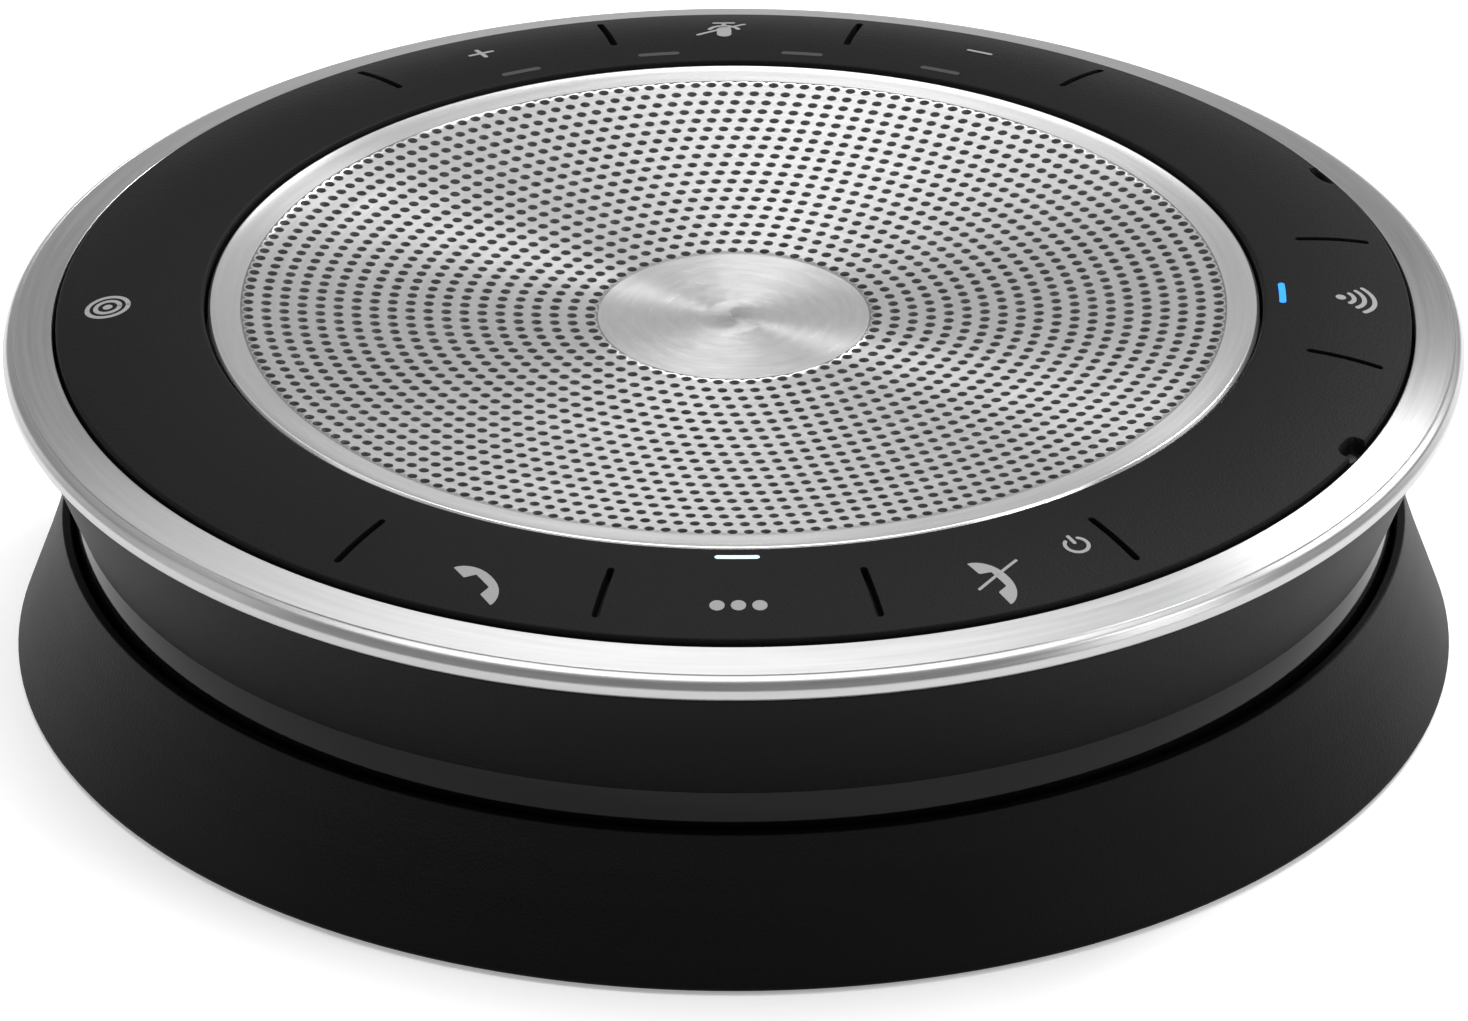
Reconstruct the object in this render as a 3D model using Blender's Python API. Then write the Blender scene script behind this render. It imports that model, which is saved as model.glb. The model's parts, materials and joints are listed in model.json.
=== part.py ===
"""Conference speakerphone: a round desk puck with a ring of soft keys around a speaker grille.

Frame: the axis of the puck is +Z through the origin, the floor is z = 0, and the front keys face -Y.
Sections are lists of (radius, height) in millimetres, turned or swept about the axis.
Azimuths are degrees anticlockwise from +X, so 270 is the front and 90 the back.
"""

import math

import bmesh
import bpy

MM = 0.001

# Driving dimensions, millimetres
BASE_RADIUS = 59.55
BASE_EDGE_HEIGHT = 0.3
LIP_RADIUS, LIP_HEIGHT = 55.5, 12.35
GROOVE_FLOOR = 6.3
BAND_RADIUS, BAND_TOP = 54.45, 15.2
SHELL_TOP_RADIUS, SHELL_TOP = 58.9, 26.4
RIM_RADIUS = 60.0
BEZEL_INNER, BEZEL_OUTER = 43.4, 55.6
KEY_INNER, KEY_OUTER = 47.7, 53.8
KEY_PITCH_DEG = 24.0
SLIT_HALF_WIDTH = 0.25
EDGE_GAP = 0.3
LIGHT_RADIUS, LIGHT_TOP = 45.0, 31.4
LIGHT_WIDTH, LIGHT_LENGTH = 0.7, 3.5
GRILLE_RADIUS, GRILLE_CENTRE_HEIGHT = 43.1, 29.45
BOARD_TOP = 28.0

KEYS = {
    "key_call": 246, "key_menu": 270, "key_end": 294,
    "key_volume_up": 114, "key_mute": 90, "key_volume_down": 66,
    "key_wireless": 0,
}
KEY_GROUPS = {"front": (270, 3), "back": (90, 3), "right": (0, 1)}
LIGHTS = {
    "light_front": 270, "light_right": 0,
    "light_back_1": 66.7, "light_back_2": 82.2, "light_back_3": 97.8, "light_back_4": 113.3,
}
MICROPHONES = {"1": -26, "2": 26}
SCREW_AZIMUTHS = (45, 135, 225, 315)
SCREW_CIRCLE = 50.0
SOCKET_AZIMUTH = 90

LARGE, MEDIUM, SMALL = 48, 32, 12  # segments in a full turn

# Height of the bezel's soft top, also followed by the keys
BEZEL_TOP = [(BEZEL_INNER, 31.15), (43.75, 31.45), (44.8, 31.56), (47.7, 31.47), (50.8, 31.08),
             (53.8, 30.45), (55.2, 30.05), (BEZEL_OUTER, 29.8)]

# name: (base colour, metallic, roughness)
MATERIALS = {
    "soft_black": ((0.03, 0.03, 0.032), 0.0, 0.62),
    "matte_shell": ((0.02, 0.02, 0.021), 0.0, 0.5),
    "gloss_band": ((0.008, 0.008, 0.009), 0.0, 0.08),
    "brushed_rim": ((0.78, 0.78, 0.79), 1.0, 0.3),
    "grille_steel": ((0.74, 0.74, 0.75), 1.0, 0.35),
    "foot_rubber": ((0.025, 0.025, 0.025), 0.0, 0.9),
    "acoustic_cloth": ((0.05, 0.05, 0.05), 0.0, 0.95),
    "inner_plastic": ((0.09, 0.09, 0.1), 0.0, 0.55),
    "circuit_board": ((0.02, 0.16, 0.07), 0.0, 0.4),
    "bright_metal": ((0.7, 0.7, 0.72), 1.0, 0.25),
    "magnet_steel": ((0.35, 0.35, 0.37), 1.0, 0.4),
    "copper": ((0.72, 0.36, 0.2), 1.0, 0.35),
    "cone_paper": ((0.06, 0.06, 0.06), 0.0, 0.85),
    "surround_rubber": ((0.02, 0.02, 0.02), 0.0, 0.7),
    "spider_cloth": ((0.55, 0.4, 0.16), 0.0, 0.9),
    "battery_wrap": ((0.1, 0.16, 0.35), 0.0, 0.45),
    "light_pipe": ((0.85, 0.93, 0.95), 0.0, 0.3),
}


def material(slot):
    """The Principled material of a slot, made once."""
    made = bpy.data.materials.get(slot)
    if made is None:
        colour, metallic, roughness = MATERIALS[slot]
        made = bpy.data.materials.new(slot)
        made.use_nodes = True
        shader = made.node_tree.nodes["Principled BSDF"]
        shader.inputs["Base Color"].default_value = (*colour, 1.0)
        shader.inputs["Metallic"].default_value = metallic
        shader.inputs["Roughness"].default_value = roughness
    return made


def mesh_object(name, slot, points, faces):
    """One named object from points in millimetres, with its faces turned outwards."""
    mesh = bpy.data.meshes.new(name)
    mesh.from_pydata([(x * MM, y * MM, z * MM) for x, y, z in points], [], faces)
    work = bmesh.new()
    work.from_mesh(mesh)
    bmesh.ops.recalc_face_normals(work, faces=work.faces)
    work.to_mesh(mesh)
    work.free()
    made = bpy.data.objects.new(name, mesh)
    bpy.context.scene.collection.objects.link(made)
    if slot:
        mesh.materials.append(material(slot))
    else:
        made.hide_render = True
        made.display_type = "WIRE"
    return made


def on_circle(radius, azimuth, height):
    angle = math.radians(azimuth)
    return radius * math.cos(angle), radius * math.sin(angle), height


def turned(name, slot, section, segments, centre=(0.0, 0.0)):
    """A full turn of a section. A section that starts and ends on the axis makes a solid disc."""
    points, rings = [], []
    for radius, height in section:
        count = segments if radius > 0 else 1
        rings.append([len(points) + i for i in range(count)])
        for i in range(count):
            x, y, z = on_circle(radius, 360 * i / segments, height)
            points.append((centre[0] + x, centre[1] + y, z))
    closes = section[0][0] > 0
    faces = []
    for this, other in zip(rings, rings[1:] + rings[:1] if closes else rings[1:]):
        for i in range(segments):
            corners = [this[i % len(this)], this[(i + 1) % len(this)],
                       other[(i + 1) % len(other)], other[i % len(other)]]
            unique = list(dict.fromkeys(corners))
            if len(unique) > 2:
                faces.append(unique)
    return mesh_object(name, slot, points, faces)


def swept(name, slot, section, azimuth, half_deg, clearance, steps):
    """An arc of a section, its flat ends held `clearance` short of the radial lines at half_deg."""
    points, rows = [], []
    for step in range(steps + 1):
        share = 2 * step / steps - 1
        rows.append(range(len(points), len(points) + len(section)))
        for radius, height in section:
            reach = half_deg - math.degrees(math.asin(clearance / radius))
            points.append(on_circle(radius, azimuth + share * reach, height))
    faces = [list(rows[0]), list(rows[-1])]
    for this, other in zip(rows, rows[1:]):
        for i in range(len(section)):
            j = (i + 1) % len(section)
            faces.append([this[i], this[j], other[j], other[i]])
    return mesh_object(name, slot, points, faces)


def block(name, slot, size, centre, azimuth=0.0):
    """A box of size (radial, tangential, height) about a centre (radius, offset, height)."""
    points = []
    for across in (-0.5, 0.5):
        for along in (-0.5, 0.5):
            for up in (-0.5, 0.5):
                radial = centre[0] + across * size[0]
                offset = centre[1] + along * size[1]
                angle = math.radians(azimuth)
                points.append((radial * math.cos(angle) - offset * math.sin(angle),
                               radial * math.sin(angle) + offset * math.cos(angle),
                               centre[2] + up * size[2]))
    faces = [(0, 1, 3, 2), (4, 5, 7, 6), (0, 1, 5, 4), (2, 3, 7, 6), (0, 2, 6, 4), (1, 3, 7, 5)]
    return mesh_object(name, slot, points, faces)


def cut(target, cutter):
    """Takes a cutter out of a target."""
    step = target.modifiers.new(cutter.name, "BOOLEAN")
    step.operation = "DIFFERENCE"
    step.solver = "EXACT"
    step.object = cutter


def bezel_height(radius):
    """Height of the bezel's top at a radius, straight between the points of BEZEL_TOP."""
    for (r0, z0), (r1, z1) in zip(BEZEL_TOP, BEZEL_TOP[1:]):
        if radius <= r1:
            return z0 + (z1 - z0) * (radius - r0) / (r1 - r0)
    return BEZEL_TOP[-1][1]


def grille_height(radius):
    """Height of the grille's dish: a shallow quartic bowl."""
    share = (radius / 39.8) ** 2
    return GRILLE_CENTRE_HEIGHT + 1.634 * share - 0.1 * share ** 2


def build_base():
    """Foot pad, bottom cover with its screws, skirt, gloss band and tapered shell."""
    turned("foot_pad", "foot_rubber", [(36, 1.3), (45.5, 1.3), (45.5, 0), (36, 0)], LARGE)
    cover = turned("bottom_cover", "matte_shell",
                   [(0, 3.6), (55.4, 3.6), (55.9, 3.2), (55.9, 1.6), (0, 1.6)], LARGE)
    skirt = turned("base_skirt", "matte_shell", [
        (LIP_RADIUS, LIP_HEIGHT), (56.35, 9.35), (57.3, 6.5), (58.4, 3.5),
        (BASE_RADIUS, BASE_EDGE_HEIGHT), (57.5, BASE_EDGE_HEIGHT), (56.4, 4.0),
        (46.5, 4.0), (46.5, GROOVE_FLOOR), (54.6, GROOVE_FLOOR), (54.7, 12.1), (54.85, LIP_HEIGHT),
    ], LARGE)
    for index, azimuth in enumerate(SCREW_AZIMUTHS, 1):
        x, y, _ = on_circle(SCREW_CIRCLE, azimuth, 0)
        counterbore = turned(f"counterbore_{index}", None, [
            (0, 7.5), (1.4, 7.5), (1.4, 3.1), (2.7, 3.1), (2.7, 1.0), (0, 1.0)], SMALL, (x, y))
        cut(cover, counterbore)
        cut(skirt, counterbore)
        turned(f"cover_screw_{index}", "bright_metal", [
            (0, 6.1), (1.1, 6.1), (1.1, 2.8), (2.4, 2.8), (2.4, 1.8), (0, 1.8)], SMALL, (x, y))

    band = turned("waist_band", "gloss_band", [
        (BAND_RADIUS, BAND_TOP), (54.4, 11.95), (52.5, 11.45), (52.5, 6.6), (51.2, 6.6),
        (51.2, BAND_TOP)], LARGE)
    cut(band, block("socket_mouth", None, (6, 9.4, 3.6), (52.8, 0, 9.4), SOCKET_AZIMUTH))
    cut(skirt, block("plug_notch", None, (8, 13, 6.4), (56.8, 0, 10.3), SOCKET_AZIMUTH))
    turned("body_shell", "matte_shell", [
        (SHELL_TOP_RADIUS, SHELL_TOP), (56.6, 20.9), (BAND_RADIUS, BAND_TOP + EDGE_GAP),
        (52.2, BAND_TOP + EDGE_GAP), (54.4, 20.9), (56.6, SHELL_TOP)], LARGE)


def build_top():
    """Metal rim, soft bezel with its key pockets, and the chassis and board beneath."""
    turned("rim_ring", "brushed_rim", [
        (BEZEL_OUTER + EDGE_GAP, 29.55), (59.14, 28.75), (59.75, 28.45), (RIM_RADIUS, 27.8),
        (59.9, 27.0), (59.5, SHELL_TOP + EDGE_GAP), (57.0, SHELL_TOP + EDGE_GAP), (56.4, 27.6),
        (BEZEL_OUTER + EDGE_GAP, 27.6)], LARGE)
    bezel = turned("control_bezel", "soft_black", BEZEL_TOP + [
        (BEZEL_OUTER, 28.4), (54.6, 28.4), (54.4, 29.1), (47.0, 30.2), (44.2, 30.3),
        (44.2, 28.4), (BEZEL_INNER, 28.4)], LARGE)
    pocket_section = [(KEY_INNER, 33), (KEY_OUTER, 33), (KEY_OUTER, 28), (KEY_INNER, 28)]
    for group, (azimuth, count) in KEY_GROUPS.items():
        half = count * KEY_PITCH_DEG / 2
        cut(bezel, swept(f"key_pocket_{group}", None, pocket_section, azimuth, half,
                         -SLIT_HALF_WIDTH, 6 * count))
    for name, azimuth in LIGHTS.items():
        cut(bezel, block(f"{name}_slot", None, (LIGHT_WIDTH + 0.4, LIGHT_LENGTH + 0.4, 4),
                         (LIGHT_RADIUS, 0, LIGHT_TOP), azimuth))
        foot = BOARD_TOP + EDGE_GAP
        block(name, "light_pipe", (LIGHT_WIDTH, LIGHT_LENGTH, LIGHT_TOP - foot),
              (LIGHT_RADIUS, 0, (LIGHT_TOP + foot) / 2), azimuth)
    for name, azimuth in MICROPHONES.items():
        x, y, _ = on_circle(BEZEL_OUTER, azimuth, 0)
        cut(bezel, turned(f"microphone_notch_{name}", None,
                          [(0, 32), (1.5, 32), (1.5, 28), (0, 28)], SMALL, (x, y)))
        x, y, _ = on_circle(54.6, azimuth, 0)
        turned(f"microphone_seal_{name}", "surround_rubber",
               [(0, 28.9), (0.85, 28.9), (0.85, 28.1), (0, 28.1)], SMALL, (x, y))
        block(f"microphone_{name}", "bright_metal", (1.9, 3.0, 0.8), (52.5, 0, 28.5), azimuth)
    turned("keypad_board", "circuit_board", [
        (55.2, BOARD_TOP), (55.2, 27.0), (44.9, 27.0), (44.9, BOARD_TOP)], LARGE)
    turned("top_chassis", "inner_plastic", [
        (55.6, 26.7), (55.6, 24.9), (43.4, 24.9), (43.4, 26.0), (44.9, 26.0), (44.9, 26.7)], LARGE)
    swept("contactless_antenna", "copper", [
        (54.0, 28.35), (54.0, 28.15), (46.5, 28.15), (46.5, 28.35)], 180, 20, 0.1, 6)


def build_keys():
    """Seven push keys, each over its own dome switch."""
    inner, outer = KEY_INNER + EDGE_GAP, KEY_OUTER - EDGE_GAP
    section = [(inner, bezel_height(inner)), (50.8, bezel_height(50.8)),
               (outer, bezel_height(outer)), (outer, 29.4), (51.6, 29.4), (51.6, 28.85),
               (50.0, 28.85), (50.0, 29.9), (inner, 29.9)]
    for name, azimuth in KEYS.items():
        swept(name, "soft_black", section, azimuth, KEY_PITCH_DEG / 2, SLIT_HALF_WIDTH, 5)
        x, y, _ = on_circle(50.8, azimuth, 0)
        turned(name.replace("key_", "dome_"), "bright_metal",
               [(0, 28.75), (1.2, 28.68), (2.0, 28.3), (2.0, 28.05), (0, 28.05)], SMALL, (x, y))


def build_speaker():
    """Grille, cloth, baffle, sealed enclosure and the driver with its moving cone and coil."""
    radii = (0, 12, 22, 30, 36, 41)
    top = [(r, grille_height(r)) for r in radii]
    turned("speaker_grille", "grille_steel",
           top + [(42.7, 31.32), (GRILLE_RADIUS, 31.05), (GRILLE_RADIUS, 30.6)]
           + [(r, z - 0.6) for r, z in reversed(top)], LARGE)
    turned("grille_cloth", "acoustic_cloth",
           [(r, z - 0.9) for r, z in top] + [(r, z - 1.2) for r, z in reversed(top)], MEDIUM)
    turned("speaker_baffle", "inner_plastic", [
        (44.4, 27.8), (44.4, 26.3), (24.6, 26.3), (24.6, 27.8), (41.6, 27.8), (41.6, 30.1),
        (42.8, 30.1), (42.8, 27.8)], MEDIUM)
    turned("speaker_enclosure", "inner_plastic", [
        (0, 13.6), (45.0, 13.6), (45.0, 24.6), (46.5, 24.6), (46.5, 12.1), (0, 12.1)], MEDIUM)
    turned("speaker_frame", "magnet_steel", [
        (26.5, 26.0), (26.5, 24.9), (22.2, 24.9), (14.2, 18.2), (8.3, 18.2), (8.3, 18.9),
        (13.9, 18.9), (21.4, 26.0)], MEDIUM)
    turned("speaker_magnet", "magnet_steel", [
        (0, 18.6), (6.3, 18.6), (6.3, 15.2), (8.0, 15.2), (8.0, 17.9), (11.0, 17.9),
        (11.0, 14.0), (0, 14.0)], MEDIUM)
    turned("voice_coil", "copper", [(7.5, 20.2), (7.5, 16.2), (6.8, 16.2), (6.8, 20.2)], MEDIUM)
    turned("speaker_cone", "cone_paper", [
        (0, 23.2), (4.5, 22.9), (8.6, 21.8), (18.5, 26.1), (18.5, 25.5), (8.4, 20.5),
        (6.8, 20.5), (6.4, 21.7), (0, 22.6)], MEDIUM)
    turned("speaker_surround", "surround_rubber", [
        (18.8, 26.4), (19.6, 27.2), (21.0, 27.6), (22.4, 27.2), (23.2, 26.5), (24.3, 26.5),
        (24.3, 26.25), (22.9, 26.2), (22.0, 26.9), (21.0, 27.2), (20.0, 26.9), (18.8, 26.05),
    ], MEDIUM)
    turned("speaker_spider", "spider_cloth", [
        (7.8, 20.4), (9.0, 19.7), (10.4, 20.4), (11.8, 19.7), (13.3, 20.4), (13.3, 20.1),
        (11.8, 19.3), (10.4, 20.0), (9.0, 19.3), (7.8, 20.1)], MEDIUM)


def build_electronics():
    """Main board with the radio shield, battery and cord socket."""
    turned("main_board", "circuit_board", [(0, 7.8), (49.4, 7.8), (49.4, 6.6), (0, 6.6)], MEDIUM)
    block("battery", "battery_wrap", (32, 44, 3.6), (-4, 0, 9.9))
    block("radio_shield", "bright_metal", (16, 20, 1.8), (28, 0, 9.0), 0)
    socket = block("usb_socket", "bright_metal", (6.4, 7.6, 2.6), (47.7, 0, 9.4), SOCKET_AZIMUTH)
    cut(socket, block("socket_hollow", None, (6.0, 6.8, 1.8), (48.9, 0, 9.4), SOCKET_AZIMUTH))


def main():
    for old in list(bpy.data.objects):
        bpy.data.objects.remove(old)
    build_base()
    build_top()
    build_keys()
    build_speaker()
    build_electronics()


main()
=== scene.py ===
"""Looks of a round conference speakerphone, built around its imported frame.

Sizes are in metres in the frame: the puck's axis is +Z through the origin, the floor is z = 0, the front
keys face -Y. Azimuths are degrees anticlockwise from +X.
"""

import json
import math

import bpy
import numpy as np
from bpy.props import FloatProperty, FloatVectorProperty, IntProperty, PointerProperty
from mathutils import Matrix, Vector


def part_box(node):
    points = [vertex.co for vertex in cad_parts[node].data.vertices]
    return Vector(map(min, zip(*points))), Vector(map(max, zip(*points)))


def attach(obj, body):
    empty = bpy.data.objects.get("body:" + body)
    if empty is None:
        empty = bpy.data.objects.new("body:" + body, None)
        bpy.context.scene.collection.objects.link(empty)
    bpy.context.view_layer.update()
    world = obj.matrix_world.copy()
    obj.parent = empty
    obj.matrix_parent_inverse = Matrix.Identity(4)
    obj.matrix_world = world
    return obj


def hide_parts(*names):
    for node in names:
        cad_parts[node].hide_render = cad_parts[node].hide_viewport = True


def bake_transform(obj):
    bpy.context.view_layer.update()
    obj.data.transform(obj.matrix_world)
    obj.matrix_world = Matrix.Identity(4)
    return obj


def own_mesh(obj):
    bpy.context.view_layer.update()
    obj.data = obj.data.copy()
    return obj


bl_info = {
    "name": "Conference Speakerphone",
    "version": (1, 0, 0),
    "blender": (4, 5, 0),
    "location": "View3D > Sidebar > Speakerphone",
    "description": "Builds the surfaces, finishes and studio of a round conference speakerphone",
    "category": "Object",
}

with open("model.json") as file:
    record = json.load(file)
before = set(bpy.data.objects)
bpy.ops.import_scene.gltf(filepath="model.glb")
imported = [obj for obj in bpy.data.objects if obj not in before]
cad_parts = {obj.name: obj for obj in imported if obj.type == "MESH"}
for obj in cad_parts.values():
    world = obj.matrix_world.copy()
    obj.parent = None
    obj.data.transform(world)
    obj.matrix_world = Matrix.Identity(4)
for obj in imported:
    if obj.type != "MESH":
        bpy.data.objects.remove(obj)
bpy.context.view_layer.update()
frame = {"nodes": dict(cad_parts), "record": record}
MM = 0.001

# Sizes taken from the frame
RIM_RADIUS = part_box("rim_ring")[1].x
RIM_TOP, RIM_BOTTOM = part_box("rim_ring")[1].z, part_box("rim_ring")[0].z
BEZEL_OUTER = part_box("control_bezel")[1].x
BEZEL_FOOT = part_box("control_bezel")[0].z
GRILLE_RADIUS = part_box("speaker_grille")[1].x
BEZEL_INNER = GRILLE_RADIUS + 0.3 * MM
SKIRT_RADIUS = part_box("base_skirt")[1].x
SKIRT_TOP, SKIRT_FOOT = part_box("base_skirt")[1].z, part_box("base_skirt")[0].z
BAND_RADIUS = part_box("waist_band")[1].x
BAND_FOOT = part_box("waist_band")[0].z
SHELL_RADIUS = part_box("body_shell")[1].x
SHELL_TOP, SHELL_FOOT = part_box("body_shell")[1].z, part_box("body_shell")[0].z
KEY_HALF_ANGLE = 12.0
KEYS = {
    "call": 246.0, "menu": 270.0, "end": 294.0,
    "volume_up": 114.0, "mute": 90.0, "volume_down": 66.0, "wireless": 0.0,
}
SLITS = sorted({azimuth + side * KEY_HALF_ANGLE for azimuth in KEYS.values() for side in (-1, 1)})
NOTCHES = (-26.0, 26.0)
LIGHTS = {"front": 270.0, "right": 0.0,
          "back_1": 66.7, "back_2": 82.2, "back_3": 97.8, "back_4": 113.3}
LIGHT_RADIUS = 45.0 * MM
UNLIT = (0.03, 0.03, 0.032, 1.0)  # colour of a light bar that is off
ROUND = 192  # segments in a full turn of a large ring
ARC_STEPS = 5  # straight steps in a rounded corner
WALL_ROWS = 7  # rows of the control ring's outer wall
CELL_MARGIN = 0.08 * MM  # half the strip that joins one ring of the grille's cells to the next

# The control ring's top: its crown's radius and height in millimetres, and its tilt and curve from there
CROWN_RADIUS, CROWN_HEIGHT, CROWN_TILT, CROWN_CURVE = 44.8, 31.54, 0.0067, 0.01444


class SpeakerphoneSizes(bpy.types.PropertyGroup):
    """Sizes a user would change."""
    hole_pitch: FloatProperty(
        name="Hole pitch", description="Distance between the grille's rings of holes",
        default=1.474 * MM, unit="LENGTH", precision=5)
    hole_radius: FloatProperty(
        name="Hole radius", description="Radius of one hole in the grille",
        default=0.43 * MM, unit="LENGTH", precision=5)
    first_ring: IntProperty(
        name="First ring", description="Number of the innermost ring of holes", default=8)
    last_ring: IntProperty(
        name="Last ring", description="Number of the outermost ring of holes", default=27)
    holes_per_step: IntProperty(
        name="Holes per step", description="Holes that each ring has more than the one inside it",
        default=7)
    sheet_thickness: FloatProperty(
        name="Sheet thickness", description="Thickness of the grille's sheet metal",
        default=0.4 * MM, unit="LENGTH", precision=5)
    slit_half_width: FloatProperty(
        name="Slit half width", description="Half the width of the slits beside the keys",
        default=0.25 * MM, unit="LENGTH", precision=5)
    slit_depth: FloatProperty(
        name="Slit depth", description="Depth of the slits beside the keys",
        default=1.1 * MM, unit="LENGTH", precision=5)
    key_inner: FloatProperty(
        name="Key inner radius", description="Radius where the slits begin",
        default=47.6 * MM, unit="LENGTH", precision=5)
    key_outer: FloatProperty(
        name="Key outer radius", description="Radius where the slits end",
        default=53.8 * MM, unit="LENGTH", precision=5)


class SpeakerphoneColours(bpy.types.PropertyGroup):
    """Colours a user would change."""
    bezel: FloatVectorProperty(
        name="Control ring", description="Soft-touch skin of the control ring", subtype="COLOR",
        size=4, default=(0.0038, 0.0038, 0.004, 1.0))
    shell: FloatVectorProperty(
        name="Shell", description="Matte plastic of the body and base", subtype="COLOR",
        size=4, default=(0.0025, 0.0025, 0.0027, 1.0))
    band: FloatVectorProperty(
        name="Waist band", description="Gloss plastic of the waist band", subtype="COLOR",
        size=4, default=(0.002, 0.002, 0.0021, 1.0))
    metal: FloatVectorProperty(
        name="Metal", description="Brushed metal of the rim and the grille", subtype="COLOR",
        size=4, default=(0.86, 0.86, 0.865, 1.0))
    print_grey: FloatVectorProperty(
        name="Symbols", description="Printed symbols on the keys", subtype="COLOR",
        size=4, default=(0.25, 0.25, 0.25, 1.0))
    ready_light: FloatVectorProperty(
        name="Front light", description="Light of the lit front bar", subtype="COLOR",
        size=4, default=(0.55, 0.88, 0.95, 1.0))
    radio_light: FloatVectorProperty(
        name="Right light", description="Light of the lit bar beside the wireless key",
        subtype="COLOR", size=4, default=(0.01, 0.25, 0.95, 1.0))


def sizes():
    return bpy.context.scene.speakerphone_sizes


def colours():
    return bpy.context.scene.speakerphone_colours


# ---------------------------------------------------------------- meshes

def piece(name, points, faces, finish, corner_normals):
    """A mesh object at the origin from points, blocks of faces and one normal for each corner.

    A face block's corners that are masked are left out of their face.
    """
    loops = np.concatenate([np.ma.compressed(block) for block in faces])
    counts = np.concatenate([np.ma.count(block, axis=1) for block in faces])
    mesh = bpy.data.meshes.new(name)
    mesh.vertices.add(len(points))
    mesh.vertices.foreach_set("co", points.astype(np.float32).ravel())
    mesh.loops.add(len(loops))
    mesh.loops.foreach_set("vertex_index", loops.astype(np.int32))
    mesh.polygons.add(len(counts))
    mesh.polygons.foreach_set("loop_start", (np.cumsum(counts) - counts).astype(np.int32))
    mesh.update(calc_edges=True)
    if mesh.validate():
        raise RuntimeError(f"{name} has a face that isn't sound")
    mesh.normals_split_custom_set(corner_normals)
    mesh.materials.append(finish)
    made = bpy.data.objects.new(name, mesh)
    bpy.context.scene.collection.objects.link(made)
    return made


def face_normals(points, quads):
    """Unit normal of each face, from the cross product of its diagonals."""
    a, b, c, d = (points[quads[:, i]] for i in range(4))
    normal = np.cross(c - a, d - b)
    return normal / np.maximum(np.linalg.norm(normal, axis=1, keepdims=True), 1e-20)


def smoothstep(value):
    """0 below 0, 1 above 1, and three squares less two cubes between."""
    share = np.clip(value, 0.0, 1.0)
    return share * share * (3.0 - 2.0 * share)


def outline(corners):
    """Points and normals of a closed path of (radius, height, rounding) corners.

    Each rounded corner becomes a circular arc that touches both of its sides; a corner with no rounding
    stays one point with the mean of its two sides' normals. The outside lies to the left of the path.
    """
    corners = np.array(corners, float)
    place, rounding = corners[:, :2], corners[:, 2]
    count = len(place)
    points, normals = [], []
    for i in range(count):
        before, after = place[i] - place[i - 1], place[(i + 1) % count] - place[i]
        before, after = before / np.hypot(*before), after / np.hypot(*after)
        left = np.array([[-before[1], before[0]], [-after[1], after[0]]])
        turn = math.atan2(before[0] * after[1] - before[1] * after[0], before @ after)
        if rounding[i] <= 0 or abs(turn) < 1e-4:
            mean = left.sum(axis=0)
            points.append(place[i])
            normals.append(mean / np.hypot(*mean))
            continue
        reach = rounding[i] * math.tan(abs(turn) / 2)
        start = place[i] - before * reach
        side = -1.0 if turn > 0 else 1.0
        centre = start - side * left[0] * rounding[i]
        for step in range(ARC_STEPS + 1):
            angle = turn * step / ARC_STEPS
            spun = np.array([math.cos(angle) * left[0][0] - math.sin(angle) * left[0][1],
                             math.sin(angle) * left[0][0] + math.cos(angle) * left[0][1]])
            points.append(centre + side * spun * rounding[i])
            normals.append(spun)
    return np.array(points), np.array(normals)


def turned(name, corners, finish, segments=ROUND, cut=None, extra_azimuths=()):
    """A closed path of (radius, height, rounding) corners, in millimetres, carried round the axis.

    Each point is (r cos a, r sin a, z) for every azimuth a; points on the axis become one pole. A cut
    takes the points and gives their new places, and the faces that it moves are shaded flat.
    """
    path, path_normals = outline(np.array(corners) * MM)
    azimuth = np.linspace(0.0, 2.0 * np.pi, segments, endpoint=False)
    azimuth = np.unique(np.concatenate([azimuth, np.radians(extra_azimuths)]))
    turn = np.stack([np.cos(azimuth), np.sin(azimuth)], -1)

    def carried(section):
        level = np.broadcast_to(section[:, 1, None, None], (len(section), len(turn), 1))
        return np.concatenate([section[:, 0, None, None] * turn[None], level], -1).reshape(-1, 3)

    points, normals = carried(path), carried(path_normals)
    index = np.arange(len(points)).reshape(len(path), -1)
    poles = np.isclose(path[:, 0], 0.0)
    index[poles] = index[poles][:, :1]
    below = np.roll(index, -1, 0)
    quads = np.stack([index, np.roll(index, -1, 1), np.roll(below, -1, 1), below], -1).reshape(-1, 4)
    flat = np.zeros(len(quads), bool)
    if cut:
        moved = cut(points)
        flat = (np.abs(moved - points).max(axis=1) > 1e-9)[quads].any(axis=1)
        points = moved
    return joined(name, [closed_parts(points, quads, normals, flat)], finish)


def closed_parts(points, quads, normals, flat):
    """Faces that agree with the normals; a quad that has collapsed to an edge is dropped.

    A quad with two equal corners stays, as a triangle. Flat faces take their own normal.
    """
    repeats = quads == np.roll(quads, -1, 1)
    quads, flat, repeats = (a[repeats.sum(axis=1) < 2] for a in (quads, flat, repeats))
    facing = face_normals(points, quads)
    wrong = (facing * normals[quads].mean(axis=1)).sum(axis=1) < 0
    quads[wrong], repeats[wrong] = quads[wrong][:, ::-1], np.roll(repeats[wrong][:, ::-1], -1, 1)
    facing[wrong] *= -1.0
    corner_normals = np.where(flat[:, None, None], facing[:, None], normals[quads])
    return points, np.ma.array(quads, mask=repeats), corner_normals[~repeats]


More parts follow.
